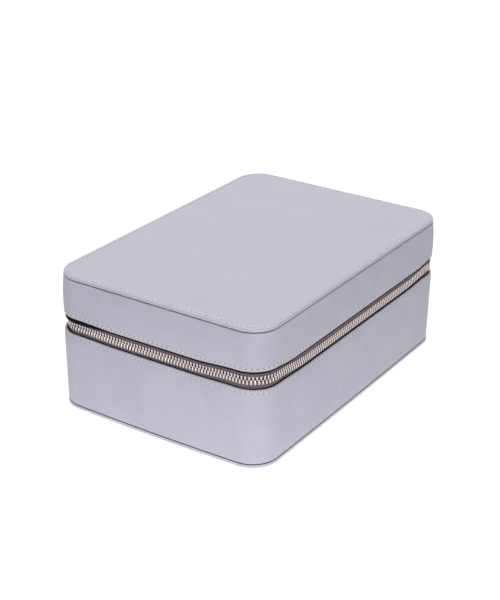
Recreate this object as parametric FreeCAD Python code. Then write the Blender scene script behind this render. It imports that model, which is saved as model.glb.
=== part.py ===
"""Travel jewelry case: a leather-covered box with a zipped lid on a leather spine and a lift-out tray.

Millimetres, +Z up. The origin is the centre of the bottom face. The front faces -Y, the spine is at +Y,
and the zip runs from the back round the left side, the front and the right side. Each piece is written to
parts/.
"""

import FreeCAD
import Part
import math
import os

Vector = FreeCAD.Vector
UP = Vector(0, 0, 1)
ACROSS = Vector(1, 0, 0)
ALONG = Vector(0, 1, 0)

# ---- The case outside ----
case_width = 176.0  # X
case_depth = 254.0  # Y
corner_radius = 20.0  # upright corners
bottom_panel_height = 2.4
base_wall_height = 56.9
zip_slot_height = 11.4
lid_wall_height = 30.2
top_panel_height = 2.9

# ---- Layers, from the outside in ----
leather_thickness = 2.2  # leather with the thin padding glued behind it
board_thickness = 3.0
collar_thickness = 1.6
lining_thickness = 0.6
floor_lining_thickness = 1.0
top_leather_thickness = 1.2

# ---- Edges ----
rim_flat = 0.3  # left flat inside the rounding where the leather turns in at the zip
bottom_seam_round = 0.5
top_seam_round = 0.9
bottom_panel_inset = 0.8
bottom_panel_round = 1.2
top_panel_inset = 0.5
top_panel_round = 1.6
board_setback = 0.5  # board rims stop short of the leather rims
collar_round = 0.6  # edges of the collar's top

# ---- Zip and spine ----
tape_thickness = 0.6
tape_tuck = 7.3  # tape glued between leather and board
tape_pocket = 0.9  # rebate in the board that takes tape or spine
tape_play = 0.05
tape_bend_rise = 0.2  # tape stays upright this far past the rim
chain_inset = 1.7  # middle plane of the chain, from the leather's surface
row_width = 2.4  # teeth, through the tape
row_height = 2.6
row_gap = 0.8  # between the two rows, where the slider's neck runs
bead_depth = 1.6  # tape's edge held inside the teeth
spine_width = 92.0
spine_thickness = 0.8
spine_inset = 1.0  # spine's outer face, in the slot
tape_end_gap = 0.3

# ---- Slider and pull ----
slider_length = 11.0
slider_height = 8.6
slider_plate = 1.0
slider_channel = 3.0  # between the plates
slider_taper = 1.0  # plates' height lost at each edge of the narrow end
slider_wide_round = 2.0
slider_narrow_round = 1.2
slider_flange = 1.1
flange_drop = 0.2  # flange to teeth
flange_end = 2.5  # flanges stop short of the plates' ends
flange_play = 0.3  # flange to tape
neck_thickness = 0.5
neck_length = 4.0
slider_end_gap = 6.0  # slider to the start of the rounded corner
bridge_diameter = 1.2
bridge_play = 0.3
bridge_end = 2.0  # bridge's posts in from the plates' ends
link_wire = 0.9
link_gap = 0.1  # link to the slider's plate
link_length = 6.0  # between the centres of the link's two ends
tab_width = 8.0
tab_length = 30.0
tab_thickness = 1.4
tab_top_round = 2.0
tab_foot_round = 3.6
tab_eye_radius = 1.0
tab_eye_margin = 3.0  # eye's centre from the tab's end

# ---- Inside of the base ----
divider_thickness = 3.0
base_split_x = 22.0  # long divider
left_cross_divider_ys = (-40.0, 40.0)
right_cross_divider_ys = (-30.0,)
ledge_width = 3.0
ledge_height = 6.0

# ---- Lift-out tray ----
tray_height = 20.0
tray_rim_drop = 4.0  # tray's rim below the collar's top
tray_gap = 0.8  # tray to the lining, all round
tray_rest_gap = 0.2
tray_wall = 2.4
tray_rim_round = 0.6
tray_floor_thickness = 2.0
tray_divider_thickness = 2.4
tray_divider_drop = 1.0  # dividers below the tray's rim
tray_split_x = 18.0
ring_roll_count = 7
ring_roll_pitch = 16.0
ring_roll_gap = 0.4
ring_roll_height = 16.0
ring_roll_round = 5.5
left_tray_cross_y = 57.0
right_tray_cross_y = 20.0
lift_tab_width = 14.0
lift_tab_thickness = 0.8
lift_tab_height = 15.0

# ---- Mirror in the lid ----
mirror_play = 0.3  # mirror's board and frame to the lid's lining
mirror_board_thickness = 2.2
mirror_thickness = 2.0
mirror_frame_height = 3.0
mirror_border = 20.0
mirror_overlap = 4.0  # frame over the glass
mirror_corner = 6.0
mirror_bed = 0.1  # glass to its pocket's walls

# ---- Levels ----
base_rim_z = bottom_panel_height + base_wall_height
lid_rim_z = base_rim_z + zip_slot_height
lid_seam_z = lid_rim_z + lid_wall_height
top_z = lid_seam_z + top_panel_height
chain_z = (base_rim_z + lid_rim_z) / 2
board_rim_z = base_rim_z - board_setback
floor_z = bottom_panel_height + board_thickness
base_inside_z = floor_z + floor_lining_thickness
collar_top_z = lid_rim_z
lid_lining_z = lid_rim_z + board_setback
ceiling_z = lid_seam_z - board_thickness
tray_top_z = collar_top_z - tray_rim_drop
tray_z = tray_top_z - tray_height
ledge_top_z = tray_z - tray_rest_gap

# ---- Distances in from the leather's surface ----
board_in = leather_thickness + board_thickness
collar_in = board_in + collar_thickness
base_inside = collar_in + lining_thickness
lid_inside = board_in + lining_thickness
tray_outside = base_inside + tray_gap
tray_board_in = tray_outside + tray_wall
tray_inside = tray_board_in + lining_thickness

half_width = case_width / 2
half_depth = case_depth / 2
rim_round = leather_thickness - rim_flat

touching = 1e-6  # two points nearer than this are one


def outline_face(points, across, up):
    """A face whose corners are (across, up) pairs; a third number rounds that corner."""
    places = [across * point[0] + up * point[1] for point in points]
    corners = []
    for number, (place, point) in enumerate(zip(places, points)):
        radius = point[2] if len(point) > 2 else 0
        if not radius:
            corners.append((place, None, place))
            continue
        back = (places[number - 1] - place).normalize()
        on = (places[(number + 1) % len(places)] - place).normalize()
        half_angle = back.getAngle(on) / 2
        reach = radius / math.tan(half_angle)
        to_centre = (back + on).normalize()
        middle = place + to_centre * (radius / math.sin(half_angle) - radius)
        corners.append((place + back * reach, middle, place + on * reach))
    edges = []
    for number, (start, middle, end) in enumerate(corners):
        if middle:
            edges.append(Part.Arc(start, middle, end).toShape())
        following = corners[(number + 1) % len(corners)][0]
        if end.distanceToPoint(following) > touching:
            edges.append(Part.makeLine(end, following))
    return Part.Face(Part.Wire(edges))


def joined(pieces):
    """The pieces as one solid."""
    whole = pieces[0].multiFuse(pieces[1:]).removeSplitter() if len(pieces) > 1 else pieces[0]
    if len(whole.Solids) != 1:
        raise ValueError(f"{len(whole.Solids)} solids where one is wanted")
    return whole.Solids[0]


def upright(solid):
    """The same solid with its faces pointing outwards."""
    if solid.Volume < 0:
        solid.reverse()
    return solid


def along_side(section, inward_angle, start, length):
    """A wall section pushed along one straight side. The section's own X points inwards."""
    face = section.copy()
    face.rotate(Vector(), UP, inward_angle)
    face.translate(start)
    travel = FreeCAD.Rotation(UP, inward_angle - 90).multVec(ACROSS)
    return upright(face.extrude(travel * length))


def round_corner(section, inward_angle, centre):
    """A wall section turned through the corner that follows the side of that inward angle."""
    face = section.copy()
    face.translate(Vector(-corner_radius, 0, 0))
    face.rotate(Vector(), UP, inward_angle)
    face.translate(centre)
    return upright(face.revolve(centre, UP, 90))


def wall(points, back_gap=0.0):
    """A wall round the case from its section's (inward, up) points.

    back_gap leaves out the back's middle.
    """
    section = outline_face(points, ACROSS, UP)
    straight_x = half_width - corner_radius
    straight_y = half_depth - corner_radius
    stretches = [
        (90, Vector(-straight_x, -half_depth, 0), 2 * straight_x),
        (180, Vector(half_width, -straight_y, 0), 2 * straight_y),
        (360, Vector(-half_width, straight_y, 0), 2 * straight_y),
    ]
    if back_gap:
        stub = straight_x - back_gap / 2
        stretches.append((270, Vector(straight_x, half_depth, 0), stub))
        stretches.append((270, Vector(-back_gap / 2, half_depth, 0), stub))
    else:
        stretches.append((270, Vector(straight_x, half_depth, 0), 2 * straight_x))
    pieces = [along_side(section, *stretch) for stretch in stretches]
    for inward_angle, x_side, y_side in ((90, 1, -1), (180, 1, 1), (270, -1, 1), (360, -1, -1)):
        centre = Vector(x_side * straight_x, y_side * straight_y, 0)
        pieces.append(round_corner(section, inward_angle, centre))
    return joined(pieces)


def flipped(points):
    """A section of the base turned over about the chain's middle, for the lid."""
    return [(point[0], 2 * chain_z - point[1], *point[2:]) for point in points]


def plate(half_x, half_y, radius, low, high):
    """A flat plate with rounded upright corners."""
    corners = [(-half_x, -half_y), (half_x, -half_y), (half_x, half_y), (-half_x, half_y)]
    face = outline_face([(x, y, radius) for x, y in corners], ACROSS, ALONG)
    face.translate(UP * low)
    return upright(face.extrude(UP * (high - low)))


def slab(inset, low, high):
    """A plate of the case's own outline, moved in by inset."""
    return plate(half_width - inset, half_depth - inset, corner_radius - inset, low, high)


def rounded_level(solid, level, radius):
    """The solid with every edge at that level rounded."""
    flat = [edge for edge in solid.Edges if edge.BoundBox.ZLength < touching]
    edges = [edge for edge in flat if abs(edge.BoundBox.Center.z - level) < touching]
    return solid.makeFillet(radius, edges)


def block(low, high):
    """A box from its lowest to its highest corner."""
    size = Vector(*high) - Vector(*low)
    return Part.makeBox(size.x, size.y, size.z, Vector(*low))


# ---- Walls, boards and linings ----


def base_wall_leather():
    return wall(
        [
            (0, bottom_panel_height, bottom_seam_round),
            (leather_thickness, bottom_panel_height),
            (leather_thickness, base_rim_z),
            (0, base_rim_z, rim_round),
        ]
    )


def lid_wall_leather():
    return wall(
        [
            (0, lid_rim_z, rim_round),
            (leather_thickness, lid_rim_z),
            (leather_thickness, lid_seam_z),
            (0, lid_seam_z, top_seam_round),
        ]
    )


def board_wall(rim_z, pocket_z, far_z):
    """A wall board with a pocket in its outer face, beside the rim, for the zip tape and the spine."""
    return wall(
        [
            (leather_thickness + tape_pocket, rim_z),
            (board_in, rim_z),
            (board_in, far_z),
            (leather_thickness, far_z),
            (leather_thickness, pocket_z),
            (leather_thickness + tape_pocket, pocket_z),
        ]
    )


def base_wall_board():
    return board_wall(board_rim_z, base_rim_z - tape_tuck - tape_play, bottom_panel_height)


def lid_wall_board():
    rim_z = lid_lining_z + lining_thickness
    return board_wall(rim_z, lid_rim_z + tape_tuck + tape_play, lid_seam_z)


def base_collar():
    collar_rim_z = collar_top_z - lining_thickness
    return wall(
        [
            (board_in, floor_z),
            (collar_in, floor_z),
            (collar_in, collar_rim_z, collar_round),
            (board_in, collar_rim_z, collar_round),
        ]
    )


def base_wall_lining():
    """Lining up the inside of the collar, over its top and down its outside to the board."""
    outer_round = collar_round + lining_thickness
    return wall(
        [
            (collar_in, floor_z),
            (base_inside, floor_z),
            (base_inside, collar_top_z, outer_round),
            (board_in - lining_thickness, collar_top_z, outer_round),
            (board_in - lining_thickness, board_rim_z),
            (board_in, board_rim_z),
            (board_in, collar_top_z - lining_thickness, collar_round),
            (collar_in, collar_top_z - lining_thickness, collar_round),
        ]
    )


def lid_wall_lining():
    """Lining up the inside of the lid's board and under its rim."""
    return wall(
        [
            (leather_thickness + tape_pocket, lid_lining_z),
            (lid_inside, lid_lining_z),
            (lid_inside, ceiling_z),
            (board_in, ceiling_z),
            (board_in, lid_lining_z + lining_thickness),
            (leather_thickness + tape_pocket, lid_lining_z + lining_thickness),
        ]
    )


def bottom_panel():
    panel = slab(bottom_panel_inset, 0, bottom_panel_height)
    return rounded_level(panel, 0, bottom_panel_round)


def top_foam():
    inset = top_panel_inset + top_leather_thickness
    return slab(inset, lid_seam_z, top_z - top_leather_thickness)


def top_panel():
    panel = slab(top_panel_inset, lid_seam_z, top_z)
    return rounded_level(panel, top_z, top_panel_round).cut(top_foam())


# ---- Zip and spine ----


def tape_layer(outer_inset, thickness, end_z):
    """A layer glued in the board's pocket that leans out to outer_inset across the slot and ends at end_z."""
    pocket_inset = leather_thickness + tape_play
    bend_z = base_rim_z + tape_bend_rise
    lean_z = chain_z - row_gap / 2 - row_height
    outside = [
        (pocket_inset, base_rim_z - tape_tuck),
        (pocket_inset, bend_z),
        (outer_inset, lean_z),
        (outer_inset, end_z),
    ]
    inside = [(inset + thickness, z) for inset, z in reversed(outside)]
    return outside + inside


def tape_section():
    return tape_layer(
        chain_inset - tape_thickness / 2, tape_thickness, chain_z - row_gap / 2 - row_height + bead_depth
    )


def row_section():
    """A row of teeth clamped on the tape's edge."""
    top = chain_z - row_gap / 2
    foot = top - row_height
    outer, inner = chain_inset - row_width / 2, chain_inset + row_width / 2
    tape_outer, tape_inner = chain_inset - tape_thickness / 2, chain_inset + tape_thickness / 2
    return [
        (outer, foot),
        (tape_outer, foot),
        (tape_outer, foot + bead_depth),
        (tape_inner, foot + bead_depth),
        (tape_inner, foot),
        (inner, foot),
        (inner, top),
        (outer, top),
    ]


def hinge_spine():
    """The leather strip that the lid swings on: half is below the chain's middle and half above."""
    half = tape_layer(spine_inset, spine_thickness, chain_z)
    below = half[:3]
    inner_below = half[-3:]
    above = flipped(below[::-1])
    inner_above = flipped(inner_below[::-1])
    section = outline_face(below + above + inner_above + inner_below, ACROSS, UP)
    return along_side(section, 270, Vector(spine_width / 2, half_depth, 0), spine_width)


def zip_pieces():
    gap = spine_width + 2 * tape_end_gap
    return {
        "zip_tape_lower": wall(tape_section(), gap),
        "zip_teeth_lower": wall(row_section(), gap),
        "zip_tape_upper": wall(flipped(tape_section()), gap),
        "zip_teeth_upper": wall(flipped(row_section()), gap),
        "hinge_spine": hinge_spine(),
    }


# ---- Slider and pull, on the left side of the case ----

slider_y = half_depth - corner_radius - slider_end_gap - slider_length / 2
slider_travel = 2 * slider_y
slider_face = chain_inset - slider_channel / 2 - slider_plate  # outer face, from the leather's surface
bridge_inset = slider_face - link_gap - link_wire - bridge_play - bridge_diameter / 2
bridge_x = -half_width + bridge_inset
link_radius = bridge_diameter / 2 + bridge_play + link_wire / 2


def slider_plate_solid(outer_inset):
    """One plate of the slider, wider at the end that parts the rows."""
    half_length, wide = slider_length / 2, slider_height / 2
    narrow = wide - slider_taper
    points = [
        (slider_y - half_length, chain_z - wide, slider_wide_round),
        (slider_y + half_length, chain_z - narrow, slider_narrow_round),
        (slider_y + half_length, chain_z + narrow, slider_narrow_round),
        (slider_y - half_length, chain_z + wide, slider_wide_round),
    ]
    face = outline_face(points, ALONG, UP)
    face.translate(ACROSS * (-half_width + outer_inset))
    return upright(face.extrude(ACROSS * slider_plate))


def slider_flanges():
    """The lips below the lower row, one on each plate, with the tape between them."""
    top = chain_z - row_gap / 2 - row_height - flange_drop
    foot = top - slider_flange
    half_run = slider_length / 2 - flange_end
    lean = (leather_thickness + tape_play - chain_inset + tape_thickness / 2) / 2
    outer_from = slider_face + slider_plate
    outer_to = chain_inset - tape_thickness / 2 - flange_play
    inner_from = chain_inset + tape_thickness / 2 + lean + flange_play
    inner_to = chain_inset + slider_channel / 2
    return [
        block(
            (-half_width + start, slider_y - half_run, foot),
            (-half_width + end, slider_y + half_run, top),
        )
        for start, end in ((outer_from, outer_to), (inner_from, inner_to))
    ]


def slider_bridge():
    """The bar that the pull hangs on, with a post down to the plate at each end."""
    half_run = slider_length / 2 - bridge_end
    radius = bridge_diameter / 2
    bar = Part.makeCylinder(radius, 2 * half_run, Vector(bridge_x, slider_y - half_run, chain_z), ALONG)
    plate_x = -half_width + slider_face
    posts = [
        block(
            (bridge_x - radius, y - radius, chain_z - radius),
            (plate_x, y + radius, chain_z + radius),
        )
        for y in (slider_y - half_run, slider_y + half_run)
    ]
    return [bar, *posts]


def zip_slider():
    inner_plate_inset = chain_inset + slider_channel / 2
    neck = block(
        (-half_width + slider_face, slider_y - neck_length / 2, chain_z - neck_thickness / 2),
        (-half_width + inner_plate_inset, slider_y + neck_length / 2, chain_z + neck_thickness / 2),
    )
    plates = [slider_plate_solid(slider_face), slider_plate_solid(inner_plate_inset)]
    return joined([*plates, neck, *slider_flanges(), *slider_bridge()])


def zip_pull_link():
    """A narrow wire loop, upright and square to the bridge, hanging from it."""
    wire = link_wire / 2
    ends = []
    for turn, z in ((0, chain_z), (180, chain_z - link_length)):
        circle = Part.Face(Part.Wire(Part.makeCircle(wire, Vector(link_radius, 0, 0), UP)))
        half_ring = circle.revolve(Vector(), ALONG, -180)
        half_ring.rotate(Vector(), ALONG, turn)
        half_ring.translate(Vector(bridge_x, slider_y, z))
        ends.append(upright(half_ring))
    legs = [
        Part.makeCylinder(wire, link_length, Vector(bridge_x + x, slider_y, chain_z - link_length), UP)
        for x in (-link_radius, link_radius)
    ]
    return joined([*ends, *legs])


def zip_pull_tab():
    """A leather tab hung by its eye on the foot of the link."""
    eye_z = chain_z - link_length - link_radius
    top = eye_z + tab_eye_margin - link_wire
    half = tab_width / 2
    points = [
        (slider_y - half, top, tab_top_round),
        (slider_y - half, top - tab_length, tab_foot_round),
        (slider_y + half, top - tab_length, tab_foot_round),
        (slider_y + half, top, tab_top_round),
    ]
    face = outline_face(points, ALONG, UP)
    face.translate(ACROSS * (bridge_x - tab_thickness / 2))
    tab = upright(face.extrude(ACROSS * tab_thickness))
    start = Vector(bridge_x - tab_thickness, slider_y, eye_z)
    return tab.cut(Part.makeCylinder(tab_eye_radius, 2 * tab_thickness, start, ACROSS))


# ---- Inside of the base ----


def base_space():
    return slab(base_inside, base_inside_z, collar_top_z)


def tray_ledge(side):
    wall_x = half_width - base_inside
    straight_y = half_depth - corner_radius
    low_x, high_x = sorted((side * wall_x, side * (wall_x - ledge_width)))
    return block((low_x, -straight_y, ledge_top_z - ledge_height), (high_x, straight_y, ledge_top_z))


def base_divider_long():
    half = divider_thickness / 2
    reach = half_depth
    divider = block(
        (base_split_x - half, -reach, base_inside_z), (base_split_x + half, reach, ledge_top_z)
    )
    return divider.common(base_space())


def base_cross_divider(y, side):
    """A cross divider from the long divider to the left (-1) or right (1) wall, notched round the ledge."""
    half = divider_thickness / 2
    low_x, high_x = sorted((base_split_x + side * half, side * half_width))
    divider = block((low_x, y - half, base_inside_z), (high_x, y + half, ledge_top_z))
    return divider.common(base_space()).cut(tray_ledge(side))


def base_inside_pieces():
    pieces = {
        "base_floor_lining": slab(base_inside, floor_z, base_inside_z),
        "tray_ledge_left": tray_ledge(-1),
        "tray_ledge_right": tray_ledge(1),
        "base_divider_long": base_divider_long(),
    }
    for number, y in enumerate(left_cross_divider_ys, 1):
        pieces[f"base_divider_left_{number}"] = base_cross_divider(y, -1)
    for number, y in enumerate(right_cross_divider_ys, 1):
        pieces[f"base_divider_right_{number}"] = base_cross_divider(y, 1)
    return pieces


# ---- Tray ----

tray_floor_top = tray_z + tray_floor_thickness
tray_inside_z = tray_floor_top + lining_thickness
tray_divider_top = tray_top_z - tray_divider_drop
ring_start_y = -half_depth + tray_inside
ring_end_y = ring_start_y + ring_roll_count * ring_roll_pitch
ring_left_x = -half_width + tray_inside
ring_right_x = tray_split_x - tray_divider_thickness / 2


def tray_space():
    return slab(tray_inside, tray_inside_z, tray_top_z)


def tray_frame():
    frame = slab(tray_outside, tray_z, tray_top_z)
    frame = rounded_level(frame, tray_top_z, tray_rim_round)
    return frame.cut(slab(tray_board_in, tray_z, tray_top_z))


def tray_lining():
    tub = slab(tray_board_in, tray_floor_top, tray_top_z)
    return tub.cut(tray_space())


def tray_divider(low_x, high_x, low_y, high_y):
    divider = block((low_x, low_y, tray_inside_z), (high_x, high_y, tray_divider_top))
    return divider.common(tray_space())


def tray_dividers():
    half = tray_divider_thickness / 2
    split_left, split_right = tray_split_x - half, tray_split_x + half
    ring_y = ring_end_y + half
    return {
        "tray_divider_long": tray_divider(split_left, split_right, -half_depth, half_depth),
        "tray_divider_rings": tray_divider(-half_width, split_left, ring_y - half, ring_y + half),
        "tray_divider_left": tray_divider(
            -half_width, split_left, left_tray_cross_y - half, left_tray_cross_y + half
        ),
        "tray_divider_right": tray_divider(
            split_right, half_width, right_tray_cross_y - half, right_tray_cross_y + half
        ),
    }


def ring_roll(number):
    """A soft bar across the ring section, with its top rounded, clear of the tray's round corner."""
    low_y = ring_start_y + number * ring_roll_pitch + ring_roll_gap / 2
    high_y = low_y + ring_roll_pitch - ring_roll_gap
    top = tray_inside_z + ring_roll_height
    points = [
        (low_y, tray_inside_z),
        (high_y, tray_inside_z),
        (high_y, top, ring_roll_round),
        (low_y, top, ring_roll_round),
    ]
    face = outline_face(points, ALONG, UP)
    face.translate(ACROSS * (ring_left_x + ring_roll_gap / 2))
    length = ring_right_x - ring_left_x - ring_roll_gap
    clear_space = slab(tray_inside + ring_roll_gap / 2, tray_inside_z, tray_top_z)
    return upright(face.extrude(ACROSS * length)).common(clear_space)


def lift_tab(side):
    """A ribbon tab standing against the inside of the tray's front (-1) or back (1) wall."""
    wall_y = half_depth - tray_inside
    low_y, high_y = sorted((side * wall_y, side * (wall_y - lift_tab_thickness)))
    middle_x = (tray_split_x + half_width - tray_inside) / 2
    half = lift_tab_width / 2
    return block(
        (middle_x - half, low_y, tray_inside_z),
        (middle_x + half, high_y, tray_inside_z + lift_tab_height),
    )


def tray_pieces():
    pieces = {
        "tray_frame": tray_frame(),
        "tray_floor": slab(tray_board_in, tray_z, tray_floor_top),
        "tray_lining": tray_lining(),
        "tray_lift_tab_front": lift_tab(-1),
        "tray_lift_tab_back": lift_tab(1),
    }
    pieces.update(tray_dividers())
    for number in range(ring_roll_count):
        pieces[f"ring_roll_{number + 1}"] = ring_roll(number)
    return pieces


# ---- Mirror ----

mirror_board_z = ceiling_z - mirror_board_thickness
mirror_inset = lid_inside + mirror_play


def mirror_pieces():
    frame_z = mirror_board_z - mirror_frame_height
    glass_z = mirror_board_z - mirror_thickness
    window_x = half_width - mirror_inset - mirror_border
    window_y = half_depth - mirror_inset - mirror_border
    glass = (window_x + mirror_overlap, window_y + mirror_overlap, mirror_corner + mirror_overlap)
    pocket = [size + mirror_bed for size in glass]
    frame = slab(mirror_inset, frame_z, mirror_board_z)
    frame = frame.cut(plate(window_x, window_y, mirror_corner, frame_z, mirror_board_z))
    frame = frame.cut(plate(*pocket, glass_z, mirror_board_z))
    return {
        "mirror_board": slab(mirror_inset, mirror_board_z, ceiling_z),
        "mirror_glass": plate(*glass, glass_z, mirror_board_z),
        "mirror_frame": frame,
    }


def all_pieces():
    pieces = {
        "bottom_panel": bottom_panel(),
        "base_floor_board": slab(board_in, bottom_panel_height, floor_z),
        "base_wall_board": base_wall_board(),
        "base_wall_leather": base_wall_leather(),
        "base_collar": base_collar(),
        "base_wall_lining": base_wall_lining(),
        "lid_top_board": slab(board_in, ceiling_z, lid_seam_z),
        "lid_wall_board": lid_wall_board(),
        "lid_wall_leather": lid_wall_leather(),
        "lid_wall_lining": lid_wall_lining(),
        "top_foam": top_foam(),
        "top_panel": top_panel(),
        "zip_slider": zip_slider(),
        "zip_pull_link": zip_pull_link(),
        "zip_pull_tab": zip_pull_tab(),
    }
    pieces.update(zip_pieces())
    pieces.update(base_inside_pieces())
    pieces.update(tray_pieces())
    pieces.update(mirror_pieces())
    return pieces


os.makedirs("parts", exist_ok=True)
for name, shape in all_pieces().items():
    if len(shape.Solids) != 1 or not shape.isValid():
        raise ValueError(f"{name} is not one valid solid")
    shape.Solids[0].exportStep(f"parts/{name}.step")
print(f"lid hinge: x axis at y {half_depth}, z {chain_z}")
print(f"slider: y {slider_y}, travel {slider_travel}; pull axis at x {bridge_x}, z {chain_z}")
print(f"tray: z {tray_z} to {tray_top_z}; mirror frame's face z {mirror_board_z - mirror_frame_height}")
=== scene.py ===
# %% [markdown]
# # A travel jewelry case
# This lesson dresses a finished construction model of a leather jewelry case: a rounded box with a zip round
# three sides, a leather spine at the back, a mirror in the lid and a lift-out tray. The construction model is
# the fixed frame. Every size below is read from it, so each new piece lands where the frame's own piece is.

# %% Load the fixed frame
import math

import bmesh
import bpy
from mathutils import Matrix, Vector


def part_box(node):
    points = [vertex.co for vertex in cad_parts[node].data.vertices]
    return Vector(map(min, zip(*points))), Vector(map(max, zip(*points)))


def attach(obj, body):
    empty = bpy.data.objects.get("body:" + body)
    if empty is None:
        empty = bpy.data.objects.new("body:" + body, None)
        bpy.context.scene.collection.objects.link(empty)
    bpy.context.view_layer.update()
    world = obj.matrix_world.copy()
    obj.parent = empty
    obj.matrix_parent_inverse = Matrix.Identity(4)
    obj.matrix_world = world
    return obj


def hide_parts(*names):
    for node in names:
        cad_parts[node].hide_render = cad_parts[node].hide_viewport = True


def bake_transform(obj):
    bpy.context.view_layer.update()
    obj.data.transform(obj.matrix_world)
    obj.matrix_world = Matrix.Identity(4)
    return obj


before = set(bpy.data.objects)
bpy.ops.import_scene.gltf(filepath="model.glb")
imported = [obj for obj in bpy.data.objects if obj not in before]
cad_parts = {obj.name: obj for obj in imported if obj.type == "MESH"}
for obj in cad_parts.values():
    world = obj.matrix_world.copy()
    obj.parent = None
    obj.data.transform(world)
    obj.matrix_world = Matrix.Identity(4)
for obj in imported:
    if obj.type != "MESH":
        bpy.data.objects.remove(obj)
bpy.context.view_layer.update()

# %% [markdown]
# ## Levels and widths
# A case like this is one outline repeated at many heights: walls, seams, zip and linings all follow the same
# rounded rectangle. So a piece is fully described by how far in from the leather it lies and how high.

# %% Sizes read from the frame
MM = 0.001
wall_low, wall_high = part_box("base_wall_leather")
lid_low, lid_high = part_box("lid_wall_leather")
half_x = wall_high.x
half_y = wall_high.y
bottom_seam = wall_low.z
base_rim = wall_high.z
lid_rim = lid_low.z
top_seam = lid_high.z
top_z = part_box("top_panel")[1].z
chain_z = (base_rim + lid_rim) / 2
corner_radius = 20 * MM
leather = 2.2 * MM
straight_x = half_x - corner_radius
straight_y = half_y - corner_radius
print("slot", round(1000 * (lid_rim - base_rim), 1), "mm high, its middle at", round(1000 * chain_z, 1), "mm")

# %% [markdown]
# ## Small helpers for modelling by hand
# Operators act on whatever is selected, so every step first clears the selection and then picks faces or
# edges by where they are. These helpers keep that short.


# %% Selecting
def nothing_selected():
    """Leave edit mode and deselect everything."""
    active = bpy.context.view_layer.objects.active
    if active and active.mode != "OBJECT":
        bpy.ops.object.mode_set(mode="OBJECT")
    bpy.ops.object.select_all(action="DESELECT")


def work_on(piece):
    """Make this the only selected piece."""
    nothing_selected()
    piece.select_set(True)
    bpy.context.view_layer.objects.active = piece


def edit(piece):
    """Open the piece in edit mode."""
    work_on(piece)
    bpy.ops.object.mode_set(mode="EDIT")


def pick(piece, kind, rule):
    """Select in edit mode the verts, edges or faces whose rule holds, and nothing else."""
    bpy.ops.mesh.select_mode(type={"verts": "VERT", "edges": "EDGE", "faces": "FACE"}[kind])
    bpy.ops.mesh.select_all(action="DESELECT")
    mesh = bmesh.from_edit_mesh(piece.data)
    mesh.normal_update()
    for part in [part for part in getattr(mesh, kind) if rule(part)]:
        part.select_set(True)
    bmesh.update_edit_mesh(piece.data)


# %% Starting and ending a piece
def named(name):
    """Name the piece that an operator has just made."""
    piece = bpy.context.object
    piece.name = name
    piece.data.name = name
    return piece


def in_scene(name, data):
    """A new object in the scene for a mesh or a camera."""
    item = bpy.data.objects.new(name, data)
    bpy.context.scene.collection.objects.link(item)
    return item


def joined(pieces):
    """Join the pieces into the first."""
    nothing_selected()
    for piece in pieces:
        piece.select_set(True)
    bpy.context.view_layer.objects.active = pieces[0]
    bpy.ops.object.join()
    return pieces[0]


def smooth(piece, degrees=40):
    """Shade it smooth, with edges sharper than the angle kept crisp."""
    work_on(piece)
    bpy.ops.object.shade_smooth_by_angle(angle=math.radians(degrees))


def merged(piece):
    """Merge doubled points and turn every face outwards."""
    edit(piece)
    bpy.ops.mesh.select_all(action="SELECT")
    bpy.ops.mesh.remove_doubles(threshold=0.01 * MM)
    bpy.ops.mesh.normals_make_consistent(inside=False)
    bpy.ops.object.mode_set(mode="OBJECT")


def extrude_up(height):
    """Extrude what is selected straight up, or down if the height is below 0."""
    bpy.ops.mesh.extrude_region_move(TRANSFORM_OT_translate={"value": (0, 0, height)})


def modified(piece, kind, **settings):
    """Give the piece a modifier with these settings and apply it."""
    work_on(piece)
    modifier = piece.modifiers.new(kind.title(), kind)
    for setting, value in settings.items():
        setattr(modifier, setting, value)
    bpy.ops.object.modifier_apply(modifier=modifier.name)


def settle(piece, body, finish, slot, *stands_for):
    """Apply its place to its mesh, give it its finish and let it ride on its body, if it has just one."""
    work_on(piece)
    bpy.ops.object.transform_apply(location=True, rotation=True, scale=True)
    if finish:
        piece.data.materials.clear()
        piece.data.materials.append(finish)
    if body:
        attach(piece, body)
    if stands_for:
        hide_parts(*stands_for)
    print(piece.name, "rides on", body, "with", len(piece.data.polygons), "faces")


# %% [markdown]
# ## Following the outline
# A plane whose four corners are bevelled as vertices is the case's outline seen from above. Insetting that one
# face again and again, each time a little further in and a little higher or lower, draws any wall section, as
# a potter's hand draws the wall of a pot. Two runs, one up and one down, meet inside and close the wall.

# %% Outline and profile runs
ARC_STEPS = 20
SIDE_CUTS = 24
CAP_CORNERS = 8  # a cap has more corners than this, a wall face fewer


def outline(name, inset, z):
    """A flat face with round corners, selected in edit mode."""
    nothing_selected()
    bpy.ops.mesh.primitive_plane_add(size=2, location=(0, 0, 0))
    piece = named(name)
    edit(piece)
    bpy.ops.transform.resize(value=(half_x - inset, half_y - inset, 1))
    bpy.ops.transform.translate(value=(0, 0, z))
    bpy.ops.mesh.bevel(offset=corner_radius - inset, segments=ARC_STEPS, affect="VERTICES", profile=0.5)
    pick(piece, "edges", lambda edge: edge.calc_length() > corner_radius)
    bpy.ops.mesh.subdivide(number_cuts=SIDE_CUTS)
    pick(piece, "faces", lambda face: True)
    return piece


def is_cap(face):
    """Whether a face is the whole outline and not a part of a wall."""
    return len(face.verts) > CAP_CORNERS


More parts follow.
